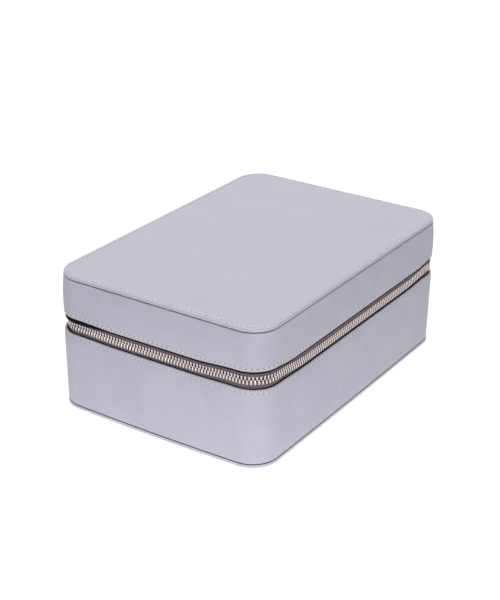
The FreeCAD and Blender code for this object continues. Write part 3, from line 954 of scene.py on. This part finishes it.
def teeth_row(name, side):
    """The lower (-1) or upper (1) row, from one side of the spine round to the other."""
    tooth = one_tooth()
    over = Matrix.Translation((0, 0, chain_z)) @ Matrix.Scale(-side, 4, (0, 0, 1))
    start = gap_half + end_clearance + (0 if side < 0 else tooth_pitch / 2)
    count = int((way_round(chain_inset) - start - gap_half - end_clearance) / tooth_pitch) + 1
    places = [stand(start + number * tooth_pitch, chain_inset, 0) @ over for number in range(count)]
    row = copies(name, tooth, places)
    merged(row)
    hang(row)
    smooth(row, 30)
    print(count, "teeth")
    return row


for body, side, half in zip_halves:
    settle(teeth_row(f"zip_teeth_{body}", side), body, None, "zip_metal", f"zip_teeth_{half}")

# %% [markdown]
# ## Rounding a machined piece
# Small parts, such as the slider, the dividers and the mirror's frame, already have the right shape in the
# frame, only with dead sharp edges. No real edge is that sharp. A copy of the mesh has its doubled points
# merged and its flat faces dissolved back into whole ones, and then every hard edge gets a small bevel.


# %% Rounded copies
def rounded_copy(node, name, radius, segments=3):
    """A copy of a frame piece with its hard edges bevelled."""
    piece = in_scene(name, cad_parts[node].data.copy())
    edit(piece)
    bpy.ops.mesh.select_all(action="SELECT")
    bpy.ops.mesh.remove_doubles(threshold=0.005 * MM)
    bpy.ops.mesh.dissolve_limited(angle_limit=math.radians(1))
    bpy.ops.mesh.normals_make_consistent(inside=False)
    hard = math.radians(35)
    pick(piece, "edges", lambda edge: len(edge.link_faces) == 2 and edge.calc_face_angle() > hard)
    bpy.ops.mesh.bevel(offset=radius, segments=segments, affect="EDGES", clamp_overlap=True)
    bpy.ops.object.mode_set(mode="OBJECT")
    smooth(piece, 45)
    return piece


def rounded_piece(node, name, radius, segments, body, finish, slot):
    """A rounded copy, finished and put in the frame piece's place."""
    settle(rounded_copy(node, name, radius, segments), body, finish, slot, node)


# %% [markdown]
# ## Slider, link and pull
# The slider is a zinc casting, tumbled and then plated like the teeth, so its edges are soft and its surface
# is a little wavy. The wire link is bright from being drawn. The pull is one strip of the case's own leather,
# folded, glued and stitched round.

# %% Plated casting and drawn wire
cast_metal, tree, shader, place = new_finish(
    "zinc_die_cast_nickel_plated", {"Metallic": 1.0, "Roughness": 0.24}
)
flow = add(tree, "TexNoise", {"Vector": place, "Scale": scale_of(2.5), "Detail": 3})
tint = add(tree, "Mix", {0: flow.outputs[0], 6: linear("#BDB1AF"), 7: linear("#D6CCCA")}, data_type="RGBA")
gloss = add(tree, "MapRange", {0: flow.outputs[0], 1: 0.3, 2: 0.7, 3: 0.18, 4: 0.34})
bump = add(tree, "Bump", {"Height": flow.outputs[0], "Strength": 0.15, "Distance": 0.1 * MM})
plug(tree, shader, tint.outputs[2], gloss=gloss.outputs[0], bump=bump.outputs[0])

drawn_wire, tree, shader, place = new_finish("steel_wire_drawn_plated", {"Metallic": 1.0, "Roughness": 0.2})
draw = add(tree, "VectorMath", {0: place, 1: (1, 1, 0.05)}, operation="MULTIPLY")
lines = add(tree, "TexNoise", {"Vector": draw.outputs[0], "Scale": scale_of(0.3), "Detail": 2})
tint = add(tree, "Mix", {0: lines.outputs[0], 6: linear("#B9AEAC"), 7: linear("#D9D0CE")}, data_type="RGBA")
gloss = add(tree, "MapRange", {0: lines.outputs[0], 1: 0.3, 2: 0.7, 3: 0.15, 4: 0.3})
plug(tree, shader, tint.outputs[2], gloss=gloss.outputs[0])

# %% Slider and pull
rounded_piece("zip_slider", "slider_body", 0.28 * MM, 3, "slider", cast_metal, "zip_metal")
rounded_piece("zip_pull_tab", "pull_leather_tab", 0.45 * MM, 4, "pull", wall_leather, "pull_leather")

# %% [markdown]
# The pull's stitches run in two rows down each face. They use the same thread as the base, a little shorter.

# %% Pull stitches
pull_low, pull_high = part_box("zip_pull_tab")
pull_x = (pull_low.x + pull_high.x) / 2
pull_pitch = 2.75 * MM
pull_face = 0.68 * MM  # from the middle of the tab to the thread
row_inset = 1.4 * MM
first_stitch = 3.6 * MM
pull_places = []
for face_side in (-1, 1):
    for row_y in (pull_low.y + row_inset, pull_high.y - row_inset):
        for number in range(8):
            height = pull_low.z + first_stitch + number * pull_pitch
            spot = Vector((pull_x + face_side * pull_face, row_y, height))
            upright = Matrix.Rotation(math.radians(-90), 4, "Y")
            turn = upright @ Matrix.Rotation(face_side * math.pi / 2, 4, "X")
            pull_places.append(Matrix.Translation(spot) @ turn)
pull_stitch = one_stitch(1.9 * MM, 0.5 * MM, toned_thread, 0.7 * MM, pull_pitch)
pull_stitches = copies("pull_stitches", pull_stitch, pull_places)
settle(pull_stitches, "pull", None, "pull_leather")

# %% [markdown]
# ## The leather spine
# At the back the slot is closed by a strip of leather that bends as the lid opens. It is glued in behind both
# rims and stands out a little between them. A grid is bulged by a weight and given its thickness by Solidify.

# %% Creased leather for the spine
spine_leather, tree, shader, place = new_finish("calf_leather_creased", {"Roughness": 0.52, "IOR": 1.5})
clouds = add(tree, "TexNoise", {"Vector": place, "Scale": scale_of(24), "Detail": 4})
tint = add(tree, "Mix", {0: clouds.outputs[0], 6: linear("#A9A8B7"), 7: linear("#BBBAC8")}, data_type="RGBA")
flatten = add(tree, "VectorMath", {0: place, 1: (0.12, 1, 1)}, operation="MULTIPLY")
creases = add(tree, "TexNoise", {"Vector": flatten.outputs[0], "Scale": scale_of(2.4), "Detail": 5})
bump = add(tree, "Bump", {"Height": creases.outputs[0], "Strength": 0.5, "Distance": 0.35 * MM})
plug(tree, shader, tint.outputs[2], bump=bump.outputs[0])

# %% Spine strip
spine_tuck = 3.5 * MM
spine_inset = leather + 0.45 * MM
nothing_selected()
bpy.ops.mesh.primitive_grid_add(x_subdivisions=46, y_subdivisions=24, size=1)
spine = named("spine_strip")
spine_height = lid_rim - base_rim + 2 * spine_tuck
edit(spine)
bpy.ops.transform.resize(value=(2 * spine_half, spine_height, 1))
bpy.ops.transform.rotate(value=math.pi / 2, orient_axis="X", center_override=(0, 0, 0))
bpy.ops.transform.translate(value=(0, half_y - spine_inset, chain_z))
bpy.ops.object.mode_set(mode="OBJECT")
displace(spine, 1.7 * MM, lambda place: eased((5.6 * MM - abs(place.z - chain_z)) / (3.6 * MM)), "Y")
modified(spine, "SOLIDIFY", thickness=0.8 * MM, offset=0)
merged(spine)
smooth(spine, 60)
settle(spine, None, spine_leather, "hinge_leather", "hinge_spine")
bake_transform(spine)

# %% [markdown]
# ## Suede lining
# Everything inside is lined with fine microfibre suede. It has no gloss at all, a soft sheen at a glancing
# angle, and lighter and darker strokes where the nap lies one way or the other. The strokes are a noise
# stretched along one direction, and the fibres are drawn coarser than they are so that they show.


# %% Suede
def suede(name, dark, light, stroke=(1, 0.45, 1)):
    """Microfibre suede whose nap lies in strokes, stretched by these shares of the place."""
    material, tree, shader, place = new_finish(
        name, {"Roughness": 0.95, "Sheen Weight": 0.35, "Sheen Roughness": 0.4, "Specular IOR Level": 0.15}
    )
    brushed = add(tree, "VectorMath", {0: place, 1: stroke}, operation="MULTIPLY")
    strokes = {"Vector": brushed.outputs[0], "Scale": scale_of(16), "Detail": 4, "Distortion": 0.6}
    nap = add(tree, "TexNoise", strokes)
    fibre = add(tree, "TexNoise", {"Vector": place, "Scale": scale_of(0.7), "Detail": 3})
    lie = add(tree, "MapRange", {0: nap.outputs[0], 1: 0.35, 2: 0.65})
    tint = add(tree, "Mix", {0: lie.outputs[0], 6: linear(dark), 7: linear(light)}, data_type="RGBA")
    fleck = add(tree, "MapRange", {0: fibre.outputs[0], 1: 0.3, 2: 0.7, 3: 0.9, 4: 1.08})
    colour = add(tree, "HueSaturation", {"Color": tint.outputs[2], "Value": fleck.outputs[0]})
    bump = add(tree, "Bump", {"Height": fibre.outputs[0], "Strength": 0.5, "Distance": 0.15 * MM})
    plug(tree, shader, colour.outputs[0], bump=bump.outputs[0])
    return material


lining_suede = suede("microfibre_suede_napped", "#8C8592", "#9A93A0")
pad_suede = suede("microfibre_suede_padded", "#938C99", "#A39CA9", (1, 1, 0.4))

# %% [markdown]
# ## Linings, ledges and dividers
# The flat linings keep their frame meshes. The ledges and dividers are board wrapped in suede over a thin
# pad, so their edges are rounded far more than the metal parts' edges.


# %% Dressing frame pieces
def dress(material, *nodes):
    """Give frame pieces a finish and leave their meshes as they are."""
    for node in nodes:
        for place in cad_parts[node].material_slots:
            place.material = material
    print(material.name, "on", ", ".join(nodes))


dress(lining_suede, "base_wall_lining", "base_floor_lining", "lid_wall_lining", "tray_lining")

# %% Ledges and dividers
soft_pieces = (
    ("tray_ledge_", ("left", "right"), "base", 0.9, "suede"),
    ("base_divider_", ("long", "left_1", "left_2", "right_1"), "base", 1.2, "padded_suede"),
    ("tray_divider_", ("long", "rings", "left", "right"), "tray", 1.0, "padded_suede"),
)
for kind, places, body, radius, slot in soft_pieces:
    for node in [kind + place for place in places]:
        piece = rounded_copy(node, node + "_padded", radius * MM, segments=4)
        settle(piece, body, pad_suede, slot, node)

# %% [markdown]
# ## Rim facings
# Behind the zip tape the board's rim is faced with a narrow strip of suede, so that no raw board shows when
# the case is open. Each is one more profile run, two millimetres wide with rounded edges.


# %% Facings and collar
def facing(name, level, side, body):
    """A thin strip over the board's rim, facing up (side 1) or down (side -1)."""
    outer = 3.0 * MM
    inner = 5.1 * MM
    top = level + side * 0.4 * MM
    outer_run = [(outer, level), *quarter(outer, top, 0.3 * MM, side, steps=3)]
    outer_run += [(inner - 0.3 * MM, top), (inner, top - side * 0.2 * MM), (inner + 0.01 * MM, level)]
    strip = ring_wall(name, outer_run, [outer_run[0], outer_run[-1]])
    smooth(strip)
    settle(strip, body, lining_suede, "suede")


facing("base_rim_facing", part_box("base_wall_board")[1].z, 1, "base")
facing("lid_rim_facing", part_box("lid_wall_board")[0].z, -1, "lid")
rounded_piece("base_collar", "collar_wrapped", 0.3 * MM, 2, "base", lining_suede, "suede")

# %% [markdown]
# ## The tray
# The tray is a shallow board frame wrapped in the same leather as the case, with its top edge turned over, and
# lined with suede. Two satin ribbon tabs lift it out.

# %% Satin ribbon
satin, tree, shader, place = new_finish(
    "polyester_satin_ribbon_woven", {"Roughness": 0.4, "Sheen Weight": 0.2}
)
axes = add(tree, "SeparateXYZ", {0: place})
threads = add(tree, "Math", {0: axes.outputs[0], 1: waves_of(0.5)}, operation="MULTIPLY")
ribs = add(tree, "Math", {0: threads.outputs[0]}, operation="SINE")
level = add(tree, "MapRange", {0: ribs.outputs[0], 1: -1, 2: 1})
tint = add(tree, "Mix", {0: level.outputs[0], 6: linear("#A29CAA"), 7: linear("#BAB4C1")}, data_type="RGBA")
bump = add(tree, "Bump", {"Height": ribs.outputs[0], "Strength": 0.3, "Distance": 0.05 * MM})
plug(tree, shader, tint.outputs[2], bump=bump.outputs[0])

# %% Tray frame and ribbons
rounded_piece("tray_frame", "tray_wrapped_frame", 0.5 * MM, 3, "tray", wall_leather, "tray_leather")
for end in ("front", "back"):
    rounded_piece(f"tray_lift_tab_{end}", f"lift_ribbon_{end}", 0.3 * MM, 3, "tray", satin, "lift_ribbon")

# %% [markdown]
# ## Ring rolls
# Rings are pushed down between soft rolls of foam covered in suede. A roll is full and round along its top and
# touches its neighbours all the way down. One roll is a bevelled bar blown up a little by Cloth, with each
# point's way capped so that it stays clear of the next roll, and seven copies of it fill the section.


# %% One ring roll
def inflate(piece, pressure, cap):
    """Blow the piece up with Cloth and let no point move further than the cap."""
    rest = [point.co.copy() for point in piece.data.vertices]
    work_on(piece)
    cloth = piece.modifiers.new("Cloth", "CLOTH")
    cloth.settings.quality = 6
    cloth.settings.use_pressure = True
    cloth.settings.uniform_pressure_force = pressure
    cloth.settings.effector_weights.gravity = 0
    for frame_number in range(1, 21):
        bpy.context.scene.frame_set(frame_number)
    bpy.ops.object.modifier_apply(modifier=cloth.name)
    bpy.context.scene.frame_set(1)
    moved = 0
    for point, start in zip(piece.data.vertices, rest):
        way = point.co - start
        moved = max(moved, way.length)
        if way.length > cap:
            point.co = start + way * (cap / way.length)
    print(piece.name, "swelled by up to", round(1000 * moved, 2), "mm, capped at", round(1000 * cap, 2))


roll_low, roll_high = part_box("ring_roll_2")
roll_size = roll_high - roll_low
roll_middle = (roll_low + roll_high) / 2
nothing_selected()
bpy.ops.mesh.primitive_cube_add(size=1)
roll = named("ring_roll_pad")
edit(roll)
bpy.ops.transform.resize(value=(roll_size.x - 1 * MM, roll_size.y - 1.1 * MM, roll_size.z - 0.6 * MM))


def is_long_top_edge(edge):
    """Whether an edge of the bar runs lengthways along its top."""
    first, last = edge.verts
    return min(first.co.z, last.co.z) > 0 and abs(first.co.y - last.co.y) < MM


pick(roll, "edges", is_long_top_edge)
bpy.ops.mesh.bevel(offset=5.6 * MM, segments=6, affect="EDGES")
pick(roll, "edges", lambda edge: edge.calc_face_angle(0) > 1.2)
bpy.ops.mesh.bevel(offset=1.2 * MM, segments=2, affect="EDGES")
bpy.ops.object.mode_set(mode="OBJECT")
roll.data.remesh_voxel_size = 1.9 * MM
work_on(roll)
bpy.ops.object.voxel_remesh()
print("a roll has", len(roll.data.polygons), "faces before it swells")
inflate(roll, 4, 0.5 * MM)
modified(roll, "SUBSURF", levels=1, render_levels=1)

# %% Seven ring rolls
for number in range(1, 8):
    low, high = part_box(f"ring_roll_{number}")
    copy = in_scene(f"ring_roll_pad_{number}", roll.data.copy())
    corner_cut = 3.2 * MM if number == 1 else 0  # the first roll makes room for the tray's round corner
    copy.scale = ((high.x - low.x - corner_cut) / roll_size.x, 1, 1)
    copy.location = ((low.x + corner_cut + high.x) / 2, (low.y + high.y) / 2, roll_middle.z)
    settle(copy, "tray", pad_suede, "padded_suede", f"ring_roll_{number}")
    smooth(copy, 60)
bpy.data.objects.remove(roll)

# %% [markdown]
# ## Mirror and its frame
# The mirror is float glass, silvered on the back, held by a leather-covered frame with soft rounded edges. The
# frame is a rounded copy, and the glass keeps its own flat mesh.

# %% Silvered glass
silvered, tree, shader, place = new_finish("float_glass_silvered", {"Metallic": 1.0, "Roughness": 0.02})
haze = add(tree, "TexNoise", {"Vector": place, "Scale": scale_of(30), "Detail": 2})
tint = add(tree, "Mix", {0: haze.outputs[0], 6: linear("#DDE1E1"), 7: linear("#EAEDED")}, data_type="RGBA")
gloss = add(tree, "MapRange", {0: haze.outputs[0], 1: 0.3, 2: 0.7, 3: 0.01, 4: 0.03})
plug(tree, shader, tint.outputs[2], gloss=gloss.outputs[0])
dress(silvered, "mirror_glass")

# %% Mirror frame
frame_slot = "mirror_frame_leather"
rounded_piece("mirror_frame", "mirror_frame_wrapped", 0.9 * MM, 4, "lid", wall_leather, frame_slot)

# %% [markdown]
# ## Board and foam
# Under the leather the case is greyboard, pressed from recycled paper, with thin foam under the top. Neither
# shows on the finished case, but both are there when it is taken apart, so they get honest finishes too.

# %% Greyboard and foam
greyboard, tree, shader, place = new_finish("greyboard_pressed", {"Roughness": 0.9})
pulp = add(tree, "TexNoise", {"Vector": place, "Scale": scale_of(1.4), "Detail": 6, "Roughness": 0.8})
tint = add(tree, "Mix", {0: pulp.outputs[0], 6: linear("#77736B"), 7: linear("#A19C92")}, data_type="RGBA")
bump = add(tree, "Bump", {"Height": pulp.outputs[0], "Strength": 0.3, "Distance": 0.1 * MM})
plug(tree, shader, tint.outputs[2], bump=bump.outputs[0])
boards = ["base_floor_board", "base_wall_board", "lid_top_board", "lid_wall_board", "mirror_board"]
dress(greyboard, *boards, "tray_floor")

foam, tree, shader, place = new_finish("polyurethane_foam_cut", {"Roughness": 1.0})
cells = add(tree, "TexVoronoi", {"Vector": place, "Scale": scale_of(0.8)})
tint = add(tree, "Mix", {0: cells.outputs[0], 6: linear("#D8D6CB"), 7: linear("#B9B6A8")}, data_type="RGBA")
bump = add(tree, "Bump", {"Height": cells.outputs[0], "Strength": 0.6, "Distance": 0.3 * MM})
plug(tree, shader, tint.outputs[2], bump=bump.outputs[0])
dress(foam, "top_foam")
dress(drawn_wire, "zip_pull_link")

# %% [markdown]
# ## Floor, light and camera
# The case stands on a white sweep in a bright, even studio. The world does most of the lighting, a large soft
# lamp above brings out the top, and a low one off the near corner rounds that corner. The floor also glows,
# though it is no lamp. This painted light comes from a patch before the near corner and from a narrow band
# round the case, so that the walls are lightest at their foot and the base is a little lighter than the lid.
# For the camera the floor adds a light of its own, so that it reads as white and still keeps the case's shadow.


# %% Floor and world
def background_rays(tree):
    """1 for the rays that see the plain white background, from the camera, in a gloss and through glass."""
    path = add(tree, "LightPath").outputs
    seen = add(tree, "Math", {0: path["Is Camera Ray"], 1: path["Is Glossy Ray"]}, operation="MAXIMUM")
    clear = add(tree, "Math", {0: seen.outputs[0], 1: path["Is Transmission Ray"]}, operation="MAXIMUM")
    return clear.outputs[0]


# Painted light: for the light it sends to the case, the floor glows in a patch before the near corner and in a
# band round the case.
glow_patch_place = (60 * MM, -230 * MM, 0)
glow_patch_reach = 340 * MM
glow_patch_light = 0.45
glow_band_reach = 150 * MM
glow_band_light = 0.41
floor_light = 0.74  # what the floor adds for the camera
world_light = 0.35
nothing_selected()
bpy.ops.mesh.primitive_plane_add(size=12, location=(0, 0, -0.1 * MM))
floor = named("studio_floor")
paper = {"Base Color": linear("#AEAEB0"), "Roughness": 0.9, "Emission Color": (1, 1, 1, 1)}
floor_white, tree, shader, place = new_finish("paper_sweep_matt", paper)
glow_patch_map = add(tree, "Mapping", {0: place, 1: glow_patch_place, 3: (glow_patch_reach,) * 3}, vector_type="TEXTURE")
fade = add(tree, "TexGradient", {0: glow_patch_map.outputs[0]}, gradient_type="SPHERICAL")
patch_glow = add(tree, "Math", {0: fade.outputs["Fac"], 1: glow_patch_light}, operation="MULTIPLY")
mirrored = add(tree, "VectorMath", {0: place}, operation="ABSOLUTE")
off_side = add(tree, "VectorMath", {0: mirrored.outputs[0], 1: (half_x, half_y, 0)}, operation="SUBTRACT")
off_case = add(tree, "VectorMath", {0: off_side.outputs[0], 1: (0, 0, 0)}, operation="MAXIMUM")
spread = add(tree, "Mapping", {0: off_case.outputs[0], 3: (glow_band_reach,) * 3}, vector_type="TEXTURE")
glow_band = add(tree, "TexGradient", {0: spread.outputs[0]}, gradient_type="SPHERICAL")
sources = {0: glow_band.outputs["Fac"], 1: glow_band_light, 2: patch_glow.outputs[0]}
both = add(tree, "Math", sources, operation="MULTIPLY_ADD")
# The camera, gloss and glass see the even white floor; all other rays get the painted glow.
glow = add(tree, "MapRange", {0: background_rays(tree), 3: both.outputs[0], 4: floor_light})
tree.links.new(glow.outputs[0], shader.inputs["Emission Strength"])
floor.data.materials.append(floor_white)

world = bpy.data.worlds.new("studio")
bpy.context.scene.world = world
world.use_nodes = True
tree = world.node_tree
lit = tree.nodes["Background"]
lit.inputs["Color"].default_value = (1, 1, 1, 1)
lit.inputs["Strength"].default_value = world_light
backdrop = add(tree, "Background", {"Color": (1, 1, 1, 1), "Strength": 1.0})
choose = add(tree, "MixShader", {0: background_rays(tree), 1: lit.outputs[0], 2: backdrop.outputs[0]})
tree.links.new(choose.outputs[0], tree.nodes["World Output"].inputs["Surface"])


# %% Lamps
def soft_lamp(name, location, size, power):
    """A square lamp that faces the case."""
    nothing_selected()
    bpy.ops.object.light_add(type="AREA", location=location)
    lamp = bpy.context.object
    lamp.name = name
    lamp.data.size = size
    lamp.data.energy = power
    lamp.rotation_euler = (Vector((0, 0, 0.05)) - lamp.location).to_track_quat("-Z", "Y").to_euler()


soft_lamp("overhead_softbox", (-0.3, 0.2, 1.6), size=1.4, power=14.7)
soft_lamp("corner_softbox", (0.79, -0.96, 0.35), size=0.7, power=5.7)

# %% Camera
camera_data = bpy.data.cameras.new("camera")
camera_data.lens = 84.3
camera_data.sensor_width = 36
camera = in_scene("camera", camera_data)
bpy.context.scene.camera = camera
camera_place = (0.51779, -0.79691, 0.49882)
azimuth, elevation, roll = [math.radians(angle) for angle in (33.29, 25.01, 0.589)]
level_part = math.cos(elevation)
back = Vector((math.sin(azimuth) * level_part, -math.cos(azimuth) * level_part, math.sin(elevation)))
right = Vector((math.cos(azimuth), math.sin(azimuth), 0))
up = back.cross(right)
turned_right = right * math.cos(roll) + up * math.sin(roll)
turned_up = up * math.cos(roll) - right * math.sin(roll)
axes = Matrix((turned_right, turned_up, back)).transposed()
camera.matrix_world = Matrix.Translation(camera_place) @ axes.to_4x4()
print("camera looks from", [round(value, 3) for value in camera.matrix_world.translation])

# %% [markdown]
# ## The view transform
# The colours are judged under the plain Standard view.

# %% Finish
bpy.context.scene.view_settings.view_transform = "Standard"
